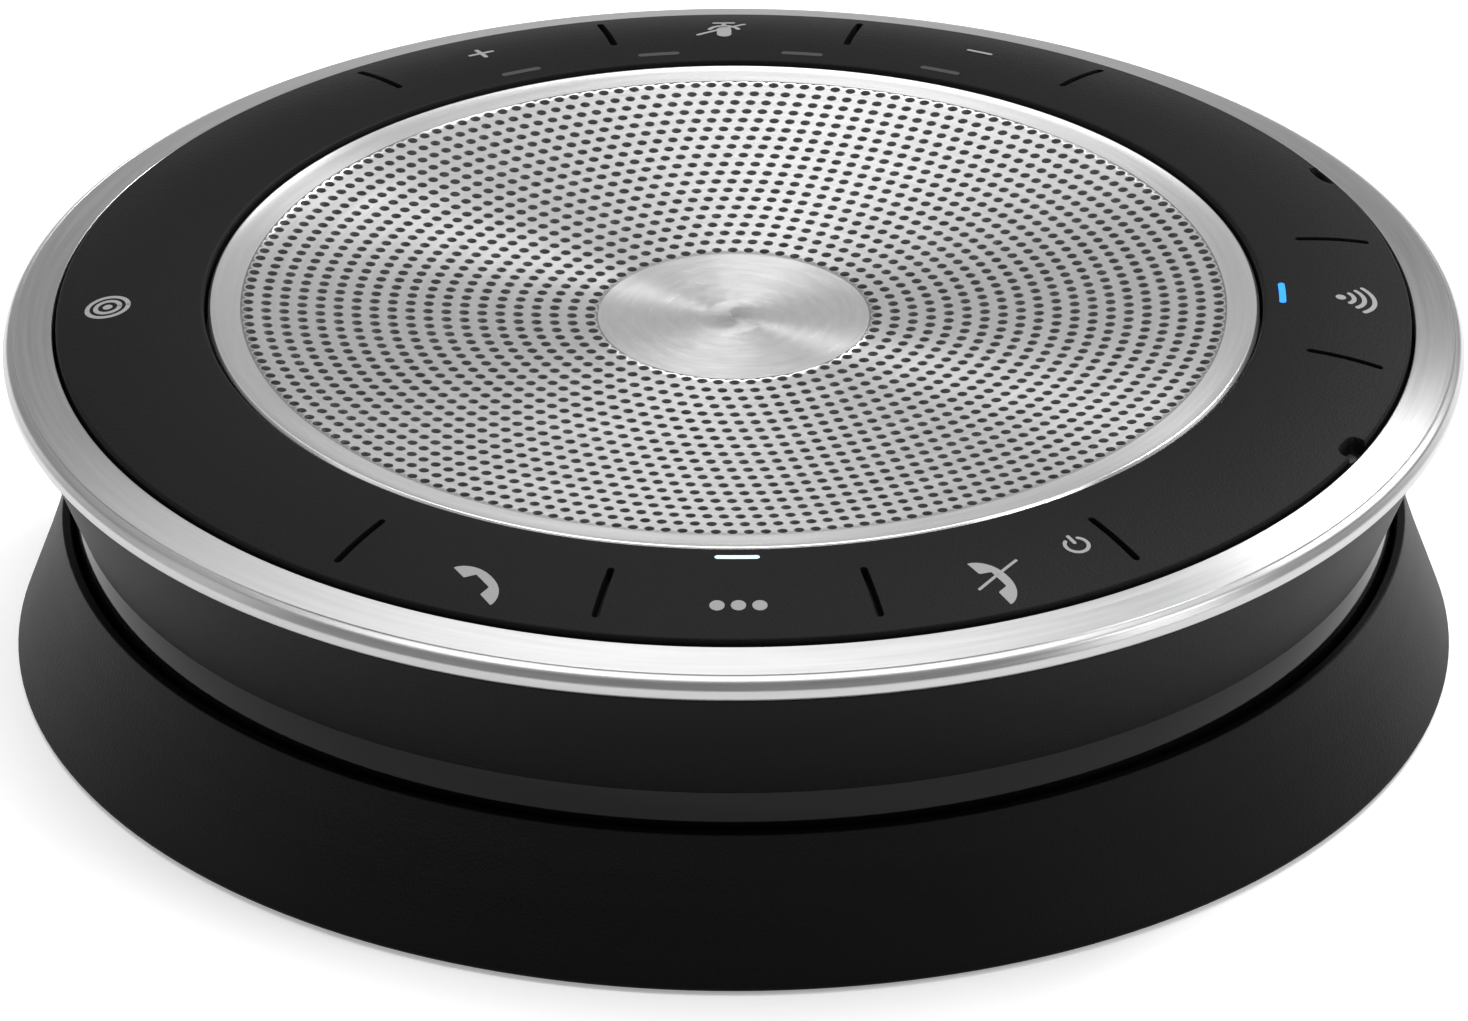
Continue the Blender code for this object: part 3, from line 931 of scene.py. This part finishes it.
def zipped(inner, outer):
    """Triangles between two closed rings of points with these rising angles, from 0 to a full turn.

    Each side of one ring joins the last point of the other ring that isn't past the side's end.
    """
    count, other = len(inner), len(outer)
    apex = (np.searchsorted(outer, np.roll(inner, -1), side="right") - 1) % other
    a = np.arange(count)
    first = np.stack([a, (a + 1) % count, apex + count], -1)
    apex = (np.searchsorted(inner, np.roll(outer, -1), side="left") - 1) % count
    b = np.arange(other)
    second = np.stack([(b + 1) % other + count, b + count, apex], -1)
    return np.concatenate([first, second])


def perforated_sheet():
    """Flat points, triangles and hole edges of the rings of holes.

    Ring k has its holes at k pitches from the axis, in k times the step cells. A cell is four corners, four
    side middles and a hole with twelve sides; thin rings of triangles join each ring of cells to the next.
    """
    s = sizes()
    half_cell = s.hole_pitch / 2 - CELL_MARGIN
    hole_angles = np.radians(np.arange(15.0, 360.0, 30.0))
    points, triangles, edges, joints = [], [], [], []
    total = 0
    for ring in range(s.first_ring, s.last_ring + 1):
        count, radius = ring * s.holes_per_step, ring * s.hole_pitch
        cell = 2 * np.pi / count
        start = math.pi % cell
        middles = start + cell * np.arange(count)
        border = np.sort(np.concatenate([middles, middles - cell / 2]) % (2 * np.pi))
        sides = (middles - cell / 2) % (2 * np.pi)
        centre = np.stack([np.cos(middles), np.sin(middles)], -1)
        across = np.stack([-centre[:, 1], centre[:, 0]], -1)
        holes = (centre[:, None] * (radius + s.hole_radius * np.cos(hole_angles))[None, :, None]
                 + across[:, None] * (s.hole_radius * np.sin(hole_angles))[None, :, None])
        rings = [np.stack([np.cos(border), np.sin(border)], -1) * (radius + reach)
                 for reach in (-half_cell, half_cell)]
        side_points = np.stack([np.cos(sides), np.sin(sides)], -1) * radius
        block = np.concatenate([*rings, side_points, holes.reshape(-1, 2)])
        inner, outer = total, total + 2 * count
        side, hole = total + 4 * count, total + 5 * count
        place = np.searchsorted(border, (middles[:, None] + np.array([-0.5, 0.0, 0.5]) * cell
                                         + 1e-9) % (2 * np.pi), side="right") - 1
        place %= len(border)
        this, following = np.arange(count), (np.arange(count) + 1) % count
        cell_border = np.stack([outer + place[:, 1], outer + place[:, 2], side + following,
                                inner + place[:, 2], inner + place[:, 1], inner + place[:, 0],
                                side + this, outer + place[:, 0]], -1)
        corner = math.atan2(radius * cell / 2, half_cell)
        border_angles = np.array([0.0, corner, np.pi / 2, np.pi - corner, np.pi, np.pi + corner,
                                  1.5 * np.pi, 2 * np.pi - corner])
        hole_index = hole + this[:, None] * len(hole_angles) + np.arange(len(hole_angles))[None]
        table = np.concatenate([hole_index, cell_border], 1)
        triangles.append(table[:, zipped(hole_angles, border_angles)].reshape(-1, 3))
        edges.append(np.stack([hole_index, np.roll(hole_index, -1, 1)], -1).reshape(-1, 2))
        if joints:
            previous_border, previous = joints[-1]
            table = np.concatenate([previous + np.arange(len(previous_border)),
                                    inner + np.arange(len(border))])
            triangles.append(table[zipped(previous_border, border)])
        joints.append((border, outer))
        points.append(block)
        total += len(block)
    first_count = 2 * s.first_ring * s.holes_per_step
    last_border, last = joints[-1]
    inner_ring = np.arange(first_count)
    outer_ring = last + np.arange(len(last_border))
    edges += [np.stack([np.roll(inner_ring, -1), inner_ring], -1),
              np.stack([outer_ring, np.roll(outer_ring, -1)], -1)]
    return np.concatenate(points), np.concatenate(triangles), np.concatenate(edges)


def build_grille():
    s = sizes()
    flat, triangles, edges = perforated_sheet()
    top = np.concatenate([flat, dish_height(np.hypot(*flat.T))[:, None]], 1)
    under = top - np.array([0.0, 0.0, s.sheet_thickness])
    points = np.concatenate([top, under])
    shift = len(top)
    side, other = (flat[triangles[:, corner]] - flat[triangles[:, 0]] for corner in (1, 2))
    up = side[:, 0] * other[:, 1] - side[:, 1] * other[:, 0]
    triangles[up < 0] = triangles[up < 0][:, ::-1]
    walls = np.concatenate([edges, edges[:, ::-1] + shift], 1)
    top_normals = dish_normal(top)
    wall_normals = np.repeat(face_normals(points, walls)[:, None], 4, 1)
    corner_normals = np.concatenate([normals.reshape(-1, 3) for normals in (
        top_normals[triangles], -top_normals[triangles[:, ::-1]], wall_normals)])
    faces = [triangles, triangles[:, ::-1] + shift, walls]
    sheet = piece("grille_sheet", points, faces, grille_finish(), corner_normals)
    ride_for(sheet, "grille_steel", "housing", "speaker_grille")
    thick = s.sheet_thickness / MM
    inner = ((s.first_ring - 0.5) * s.hole_pitch + CELL_MARGIN) / MM
    outer = ((s.last_ring + 0.5) * s.hole_pitch - CELL_MARGIN) / MM

    def along_dish(radii, drop):
        return [(radius, dish_height(radius * MM) / MM - drop, 0.0) for radius in radii]

    lap = 0.0002
    centre = (along_dish((0.0, 3.0, 6.0, 9.0, inner - lap, inner), 0.0)
              + along_dish((inner, 9.0, 6.0, 3.0, 0.0), thick))
    edge = (along_dish((outer, outer + lap, *np.linspace(40.8, 42.4, 5)), 0.0)
            + [(42.85, 31.3, 0.15), (GRILLE_RADIUS / MM, 31.0, 0.2), (GRILLE_RADIUS / MM, 30.62, 0.0),
               (42.7, 30.62, 0.0), (42.55, 30.85, 0.0)]
            + along_dish(np.linspace(42.2, outer, 4), thick))
    for name, corners in {"grille_centre": centre, "grille_edge": edge}.items():
        ride_for(turned(name, corners, grille_finish()), "grille_steel", "housing")
    cloth = (along_dish((0.0, 10.0, 20.0, 30.0, 40.0, 42.0), 0.95)
             + along_dish((42.0, 40.0, 30.0, 20.0, 10.0, 0.0), 1.15))
    disc = turned("grille_cloth_disc", cloth, cloth_finish(), 96)
    ride_for(disc, "acoustic_cloth", "housing", "grille_cloth")


# ---------------------------------------------------------------- body

def build_rim():
    """Metal ring: a fine groove divides its sloping face from a rounded bead at the edge."""
    outer, top, foot = RIM_RADIUS / MM, RIM_TOP / MM, RIM_BOTTOM / MM
    corners = [(55.9, top, 0.1), (59.02, 28.78, 0.05), (59.12, 28.66, 0.05), (59.22, 28.7, 0.05),
               (59.66, 28.44, 0.6), (outer, 27.75, 0.5), (59.9, 27.0, 0.3), (59.5, foot, 0.1),
               (57.0, foot, 0.0), (56.4, 27.6, 0.0), (55.9, 27.6, 0.0)]
    ride_for(turned("rim", corners, rim_finish(), 288), "brushed_rim", "housing", "rim_ring")


def build_body():
    outer, top, foot = SHELL_RADIUS / MM, SHELL_TOP / MM, SHELL_FOOT / MM
    shell = [(52.3, foot, 0.0), (54.5, 20.9, 8.0), (outer - 2.0, top, 0.0), (outer, top, 0.25),
             (56.6, 20.9, 30.0), (BAND_RADIUS / MM, foot, 0.25)]
    ride_for(turned("shell", shell, shell_finish()), "matte_shell", "housing", "body_shell")
    outer, foot, lip = SKIRT_RADIUS / MM, SKIRT_FOOT / MM, SKIRT_TOP / MM
    notch_floor, notch_half_angle, doubled = 7.1 * MM, 6.7, 0.02
    skirt = [(57.5, foot, 0.0), (56.4, 4.0, 0.0), (46.5, 4.0, 0.0), (46.5, 6.3, 0.0), (54.6, 6.3, 0.3),
             (54.65, lip - 0.2, 0.1), (54.85, lip, 0.1), (55.5, lip, 0.15), (56.35, 9.35, 25.0),
             (57.3, 6.5, 25.0), (58.4, 3.5, 25.0), (outer, foot, 0.25)]

    def notch(points):
        """Lowers what stands above the floor of the plug's notch, at the back."""
        moved = points.copy()
        inside = np.abs(points[:, 0]) < math.tan(math.radians(notch_half_angle)) * points[:, 1]
        moved[inside, 2] = np.minimum(points[inside, 2], notch_floor)
        return moved

    edges = [90.0 + side * (notch_half_angle + away) for side in (-1, 1) for away in (-doubled, doubled)]
    made = turned("skirt", skirt, shell_finish(), cut=notch, extra_azimuths=edges)
    ride_for(made, "matte_shell", "housing", "base_skirt")
    pad = [(36.0, 0.0, 0.35), (36.0, 1.3, 0.0), (45.5, 1.3, 0.0), (45.5, 0.0, 0.35)]
    ride_for(turned("foot_ring", pad, rubber_finish()), "foot_rubber", "housing", "foot_pad")


def build_waist():
    """Gloss band: a wall between two radii at each height, with a rounded mouth for the charging socket.

    Columns near the mouth move sideways with its width at their height, so that its ends are round.
    """
    top, foot = SHELL_FOOT / MM - 0.02, BAND_FOOT / MM
    recess, widest, wall = 52.5, BAND_RADIUS / MM, 1.6
    step = np.array([11.4, 11.45, 11.55])  # where the recess ends and the band's face begins
    mouth_middle, mouth_half, mouth_round, reach = 9.4, 4.7, 1.75, 8.0
    mouth = mouth_middle + mouth_round * np.linspace(-1, 1, 13)
    heights = np.unique(np.concatenate([np.linspace(foot, top, 9), step, mouth]))
    radius = np.interp(heights, [foot, *step, top - 0.15, top],
                       [recess, recess, widest - 0.55, widest - 0.03, widest, widest - 0.12])
    beside = np.linspace(mouth_half, reach, 6)[1:]
    shares = np.concatenate([-beside[::-1], np.linspace(-mouth_half, mouth_half, 9), beside])
    even = np.arange(100.0, 441.0, 2.0)  # azimuths clear of the mouth
    far = 99.0
    cap = np.sqrt(np.maximum(mouth_round ** 2 - (heights - mouth_middle) ** 2, 0.0))
    width = mouth_half - mouth_round + cap
    inside = np.clip(np.abs(shares) / mouth_half, 0.0, 1.0)
    outside = np.clip((reach - np.abs(shares)) / (reach - mouth_half), 0.0, 1.0)
    shift = np.sign(shares)[None] * (width - mouth_half)[:, None] * (inside * outside)[None]
    near = np.radians(90.0) - (shares[None] + shift) / recess
    azimuth = np.concatenate([np.broadcast_to(np.radians(even), (len(heights), len(even))), near], 1)
    order = np.argsort(azimuth[0] % (2 * np.pi))
    azimuth = azimuth[:, order]
    turn = np.stack([np.cos(azimuth), np.sin(azimuth)], -1)
    level = np.broadcast_to(heights[:, None, None], (*azimuth.shape, 1))
    outer = np.concatenate([turn * radius[:, None, None], level], -1) * MM
    inner = np.concatenate([turn * (radius[:, None, None] - wall), level], -1) * MM
    tilt = np.gradient(radius, heights)
    normals = np.concatenate([turn, np.broadcast_to(-tilt[:, None, None], level.shape)], -1)
    normals /= np.linalg.norm(normals, axis=-1, keepdims=True)
    middle_height = (heights[:-1] + heights[1:]) / 2
    place = np.concatenate([np.full(len(even), far), shares])[order]
    middle_place = (place + np.roll(place, -1)) / 2
    keep = ~((np.abs(middle_height - mouth_middle) < mouth_round)[:, None]
             & (np.abs(middle_place) < mouth_half)[None])
    made = slab("band", outer, inner, keep, normals, band_finish())
    ride_for(made, "gloss_band", "housing", "waist_band")


def build_spider():
    """Corrugated cloth that holds the voice coil: a cosine wave along the radius."""
    inner, outer, middle, swing, wavelength, thick = 7.8, 13.3, 20.05, 0.35, 2.75, 0.3
    radii = np.linspace(inner, outer, 45)
    height = middle + swing * np.cos(2.0 * np.pi * (radii - inner) / wavelength)
    level = np.zeros_like(radii)
    top = np.stack([radii, height, level], -1)
    under = np.stack([radii, height - thick, level], -1)[::-1]
    made = turned("spider", np.concatenate([top, under]), spider_finish(), 96)
    ride_for(made, "spider_cloth", "housing", "speaker_spider")
    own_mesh(made)


# ---------------------------------------------------------------- stage

def white_room():
    """Surroundings that are dim on the near side, bright on the far side and brighter overhead."""
    world = bpy.data.worlds.new("White room")
    world.use_nodes = True
    tree = world.node_tree
    split = tree.nodes.new("ShaderNodeSeparateXYZ")
    tree.links.new(tree.nodes.new("ShaderNodeTexCoord").outputs["Generated"], split.inputs[0])
    depth = tree.nodes.new("ShaderNodeMapRange")
    depth.interpolation_type = "SMOOTHSTEP"
    tree.links.new(split.outputs["Y"], depth.inputs["Value"])
    for label, value in {"From Min": -0.5, "From Max": 0.5, "To Min": 0.1, "To Max": 0.33}.items():
        depth.inputs[label].default_value = value
    rise = math_node(tree, "MAXIMUM", split.outputs["Z"], 0.0)
    side = ranged(tree, split.outputs["X"], 1.0, 0.35)
    level = math_node(tree, "MULTIPLY", depth.outputs["Result"], side)
    strength = math_node(tree, "MULTIPLY_ADD", rise, 0.3, level)
    tree.links.new(strength, tree.nodes["Background"].inputs["Strength"])
    tree.nodes["Background"].inputs["Color"].default_value = (1.0, 1.0, 1.0, 1.0)
    return world


def seen_from_above(finish):
    """Lets the back of a finish's faces be seen through."""
    tree = finish.tree
    clear, mix = tree.nodes.new("ShaderNodeBsdfTransparent"), tree.nodes.new("ShaderNodeMixShader")
    tree.links.new(tree.nodes.new("ShaderNodeNewGeometry").outputs["Backfacing"], mix.inputs["Fac"])
    tree.links.new(finish.shader.outputs["BSDF"], mix.inputs[1])
    tree.links.new(clear.outputs["BSDF"], mix.inputs[2])
    tree.links.new(mix.outputs["Shader"], tree.nodes["Material Output"].inputs["Surface"])


def build_stage():
    """White floor, white surroundings, soft lights and the camera."""
    scene = bpy.context.scene
    half, level = 6.0, -0.05 * MM
    mesh = bpy.data.meshes.new("floor")
    mesh.from_pydata([(-half, -half, level), (half, -half, level), (half, half, level), (-half, half, level)],
                     [], [(0, 1, 2, 3)])
    floor = bpy.data.objects.new("floor", mesh)
    scene.collection.objects.link(floor)
    paper = Finish("Floor paper")
    grain = paper.use(grain_group(), Cells_per_metre=300.0)
    paper.colour(grain["Patches"], (0.9, 0.9, 0.9), (0.92, 0.92, 0.92)).roughness(grain["Patches"], 0.8, 0.9)
    paper.shader.inputs["Specular IOR Level"].default_value = 0.1
    paper.shader.inputs["Emission Color"].default_value = (1.0, 1.0, 1.0, 1.0)
    paper.shader.inputs["Emission Strength"].default_value = 0.32
    seen_from_above(paper)
    mesh.materials.append(paper.material)

    scene.world = white_room()
    lamps = {
        "overhead": ((0.0, 0.1, 1.2), 1.2, 0.9, 11.5),
        "back_right": ((0.62, 0.74, 0.8), 0.28, 0.28, 6.5),
        "back": ((-0.25, 0.85, 1.0), 0.6, 0.4, 0.9),
        "left": ((-1.2, -0.1, 0.45), 0.5, 0.6, 0.8),
        "right": ((1.15, -0.45, 0.7), 0.5, 0.5, 5.0),
    }
    for name, (place, width, height, power) in lamps.items():
        lamp = bpy.data.lights.new(name, "AREA")
        lamp.shape = "RECTANGLE"
        lamp.size, lamp.size_y, lamp.energy = width, height, power
        holder = bpy.data.objects.new(name, lamp)
        holder.location = place
        aim = Vector((0.0, 0.0, 0.02)) - Vector(place)
        holder.rotation_euler = aim.to_track_quat("-Z", "Y").to_euler()
        scene.collection.objects.link(holder)

    lens = bpy.data.cameras.new("camera")
    lens.sensor_width, lens.lens = 36.0, 297.89
    lens.clip_start, lens.clip_end = 0.05, 50.0
    camera = bpy.data.objects.new("camera", lens)
    camera.location = (-0.00537, -0.8846, 0.4894)
    camera.rotation_euler = Vector((0.00537, 0.8798, -0.4754)).to_track_quat("-Z", "Y").to_euler()
    scene.collection.objects.link(camera)
    scene.camera = camera
    scene.view_settings.view_transform = "Standard"


# ---------------------------------------------------------------- parts kept from the frame

def inner_finishes():
    """Record slot: finish of the parts that keep their shape."""
    plain = {
        "inner_plastic": ("Inner plastic", (0.03, 0.03, 0.032), 2500.0, 0.015, (0.45, 0.6), 0.18),
        "circuit_board": ("Solder mask", (0.008, 0.05, 0.022), 700.0, 0.02, (0.25, 0.4), 0.5),
        "cone_paper": ("Cone paper", (0.035, 0.033, 0.03), 1800.0, 0.06, (0.75, 0.9), 0.35),
        "surround_rubber": ("Surround rubber", (0.015, 0.015, 0.015), 3000.0, 0.01, (0.5, 0.65), 0.18),
        "battery_wrap": ("Battery wrap", (0.05, 0.09, 0.2), 500.0, 0.01, (0.2, 0.35), 0.15),
    }
    brushed = {
        "bright_metal": ("Bright metal", (0.7, 0.7, 0.72), 4000.0, 0.003, (0.25, 0.4), 0.1),
        "magnet_steel": ("Magnet steel", (0.42, 0.42, 0.44), 2500.0, 0.006, (0.35, 0.55), 0.15),
        "copper": ("Copper winding", (0.72, 0.3, 0.14), 5000.0, 0.03, (0.25, 0.4), 0.2),
    }
    finishes = {
        "soft_black": bezel_finish(),
        "matte_shell": shell_finish(),
        "gloss_band": band_finish(),
        "brushed_rim": rim_finish(),
        "grille_steel": grille_finish(),
        "foot_rubber": rubber_finish(),
        "acoustic_cloth": cloth_finish(),
        "spider_cloth": spider_finish(),
        "light_pipe": light_finish("Light pipe back", UNLIT, 0.0),
    }
    for make, table in ((grained_finish, plain), (brushed_finish, brushed)):
        for slot, (name, colour, scale, depth, rough, spread) in table.items():
            finishes[slot] = make(name, colour, scale, depth * MM, rough, spread)
    return finishes


def finish_kept_parts():
    """Gives every part kept from the frame the finish of its record slot."""
    finishes = inner_finishes()
    slots = {part["node"]: part["material_slot"] for part in frame["record"]["subparts"]}
    for name, node in frame["nodes"].items():
        if not node.hide_render:
            node.data.materials.clear()
            node.data.materials.append(finishes[slots[name]])


# ---------------------------------------------------------------- operators, panel and run

class BuildStage(bpy.types.Operator):
    """Makes the floor, the lights and the camera"""
    bl_idname = "speakerphone.stage"
    bl_label = "Stage"

    def execute(self, context):
        build_stage()
        return {"FINISHED"}


class BuildControlRing(bpy.types.Operator):
    """Makes the soft-touch control ring and the skins of its keys"""
    bl_idname = "speakerphone.control_ring"
    bl_label = "Control ring"

    def execute(self, context):
        build_bezel()
        return {"FINISHED"}


class BuildSymbols(bpy.types.Operator):
    """Makes the printed symbols"""
    bl_idname = "speakerphone.symbols"
    bl_label = "Symbols"

    def execute(self, context):
        build_symbols()
        return {"FINISHED"}


class BuildLights(bpy.types.Operator):
    """Makes the light bars"""
    bl_idname = "speakerphone.lights"
    bl_label = "Light bars"

    def execute(self, context):
        build_lights()
        return {"FINISHED"}


class BuildGrille(bpy.types.Operator):
    """Makes the perforated grille and the cloth behind it"""
    bl_idname = "speakerphone.grille"
    bl_label = "Grille"

    def execute(self, context):
        build_grille()
        return {"FINISHED"}


class BuildRim(bpy.types.Operator):
    """Makes the brushed metal rim"""
    bl_idname = "speakerphone.rim"
    bl_label = "Rim"

    def execute(self, context):
        build_rim()
        return {"FINISHED"}


class BuildBody(bpy.types.Operator):
    """Makes the shell, the base skirt and the foot ring"""
    bl_idname = "speakerphone.body"
    bl_label = "Body"

    def execute(self, context):
        build_body()
        return {"FINISHED"}


class BuildWaist(bpy.types.Operator):
    """Makes the gloss waist band with its socket mouth"""
    bl_idname = "speakerphone.waist"
    bl_label = "Waist band"

    def execute(self, context):
        build_waist()
        return {"FINISHED"}


class BuildSpider(bpy.types.Operator):
    """Makes the corrugated cloth behind the cone"""
    bl_idname = "speakerphone.spider"
    bl_label = "Spider"

    def execute(self, context):
        build_spider()
        return {"FINISHED"}


class FinishKeptParts(bpy.types.Operator):
    """Gives the parts kept from the frame their finishes"""
    bl_idname = "speakerphone.kept_parts"
    bl_label = "Inner parts"

    def execute(self, context):
        finish_kept_parts()
        return {"FINISHED"}


OPERATORS = (BuildStage, BuildControlRing, BuildSymbols, BuildLights, BuildGrille, BuildRim, BuildBody,
             BuildWaist, BuildSpider, FinishKeptParts)


class SpeakerphonePanel(bpy.types.Panel):
    """Lists the operators"""
    bl_idname = "SPEAKERPHONE_PT_build"
    bl_label = "Speakerphone"
    bl_space_type = "VIEW_3D"
    bl_region_type = "UI"
    bl_category = "Speakerphone"

    def draw(self, context):
        for operator in OPERATORS:
            self.layout.operator(operator.bl_idname)


CLASSES = (SpeakerphoneSizes, SpeakerphoneColours, *OPERATORS, SpeakerphonePanel)


def register():
    for made in CLASSES:
        bpy.utils.register_class(made)
    bpy.types.Scene.speakerphone_sizes = PointerProperty(type=SpeakerphoneSizes)
    bpy.types.Scene.speakerphone_colours = PointerProperty(type=SpeakerphoneColours)


def unregister():
    del bpy.types.Scene.speakerphone_colours
    del bpy.types.Scene.speakerphone_sizes
    for made in reversed(CLASSES):
        bpy.utils.unregister_class(made)


def main():
    register()
    for operator in OPERATORS:
        group, action = operator.bl_idname.split(".")
        getattr(getattr(bpy.ops, group), action)()


if __name__ == "__main__":
    main()
